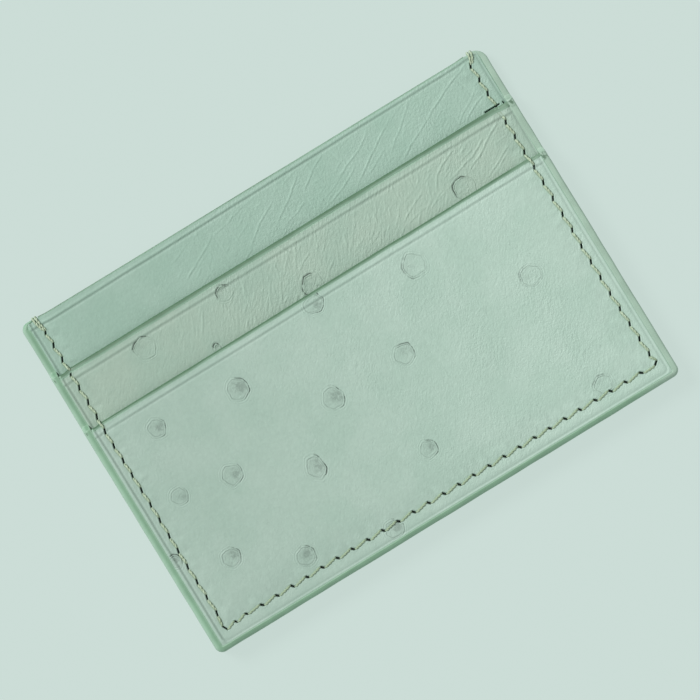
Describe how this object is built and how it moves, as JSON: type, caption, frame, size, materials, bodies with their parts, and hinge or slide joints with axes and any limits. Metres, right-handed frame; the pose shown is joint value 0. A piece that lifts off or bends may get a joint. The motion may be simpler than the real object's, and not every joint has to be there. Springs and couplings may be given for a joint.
{
  "type": "card holder",
  "caption": "Slim rectangular leather card holder with stepped front card slots, an open-topped centre pocket, painted edges and a stitched U-shaped seam.",
  "frame": {"origin": "middle of the flat back face, with the holder lying on its back", "axes": "+X along the width towards the right-hand seam, +Y towards the open top edge, +Z out of the front face, the one with the slots"},
  "size_m": [0.1, 0.071, 0.0061],
  "materials": {
    "quill_leather": "pale sea-green ostrich leather, semi-glossy, with flat quill bumps and fine wrinkles",
    "smooth_lining": "thin smooth lining leather, matte, a little darker green",
    "welt_leather": "plain split leather spacer, matte",
    "edge_paint": "rounded painted leather edge, mid green, satin",
    "waxed_thread": "waxed two-ply thread, pale yellow-green"
  },
  "bodies": {
    "root": {"rear_panel": "quill_leather", "rear_panel_lining": "smooth_lining", "centre_pocket_welt": "welt_leather", "body_panel_lining": "smooth_lining", "body_panel": "quill_leather", "upper_slot_welt": "welt_leather", "upper_slot_lining": "smooth_lining", "upper_slot_panel": "quill_leather", "lower_slot_welt": "welt_leather", "lower_slot_lining": "smooth_lining", "lower_slot_panel": "quill_leather", "perimeter_edge_paint": "edge_paint", "rear_panel_edge_paint": "edge_paint", "body_panel_edge_paint": "edge_paint", "upper_slot_edge_paint": "edge_paint", "lower_slot_edge_paint": "edge_paint", "front_seam_thread": "waxed_thread", "rear_seam_thread": "waxed_thread", "left_mouth_backtack": "waxed_thread", "right_mouth_backtack": "waxed_thread"}
  },
  "joints": []
}
